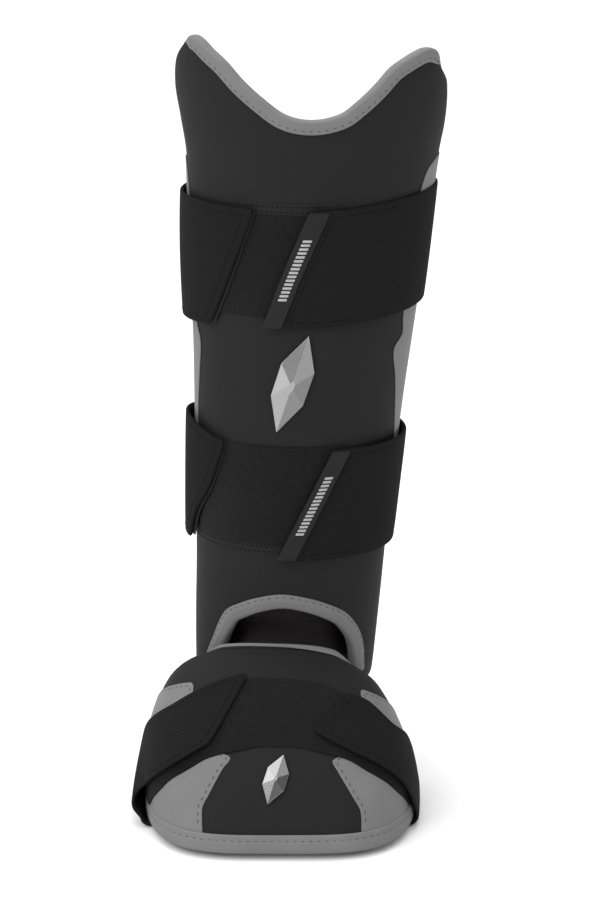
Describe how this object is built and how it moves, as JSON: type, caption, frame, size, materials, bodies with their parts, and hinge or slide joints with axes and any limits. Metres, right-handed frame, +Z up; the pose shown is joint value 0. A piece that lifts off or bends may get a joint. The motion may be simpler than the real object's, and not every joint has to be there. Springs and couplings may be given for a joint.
{
  "type": "batter's leg guard",
  "caption": "Padded leather leg guard for a batter: a tall curved shin shell with a scooped top, joined by a mesh tongue to a domed foot cover, held on with elastic straps.",
  "frame": {"origin": "middle of the shin between its two straps, where the wearer's leg carries the guard", "axes": "+Z up the leg, -Y towards the toe, +X to the right as seen from the front"},
  "size_m": [0.1748, 0.2039, 0.4249],
  "materials": {
    "black_leather": "fine-grained matte black leather over padding",
    "grey_leather": "smooth mid-grey leather, stitched along its borders",
    "webbing": "black woven elastic",
    "loop_fabric": "black brushed loop fabric",
    "mesh_cloth": "black perforated mesh cloth",
    "tab_rubber": "satin black moulded rubber",
    "badge_metal": "bright bevelled silver metal"
  },
  "bodies": {
    "root": {"shin_shell": "black_leather", "shin_top_binding": "grey_leather", "shin_arch_binding": "grey_leather", "shin_panel_left": "grey_leather", "shin_panel_right": "grey_leather", "upper_loop_patch": "loop_fabric", "upper_hook_pad": "webbing", "upper_strap": "webbing", "upper_pull_tab": "tab_rubber", "lower_loop_patch": "loop_fabric", "lower_hook_pad": "webbing", "lower_strap": "webbing", "lower_pull_tab": "tab_rubber", "shin_badge": "badge_metal", "ankle_tongue": "mesh_cloth", "foot_shell": "black_leather", "foot_binding": "grey_leather", "ankle_binding": "grey_leather", "foot_panel_left": "grey_leather", "foot_panel_right": "grey_leather", "foot_loop_patch": "loop_fabric", "foot_strap": "webbing", "foot_badge": "badge_metal"}
  },
  "joints": []
}
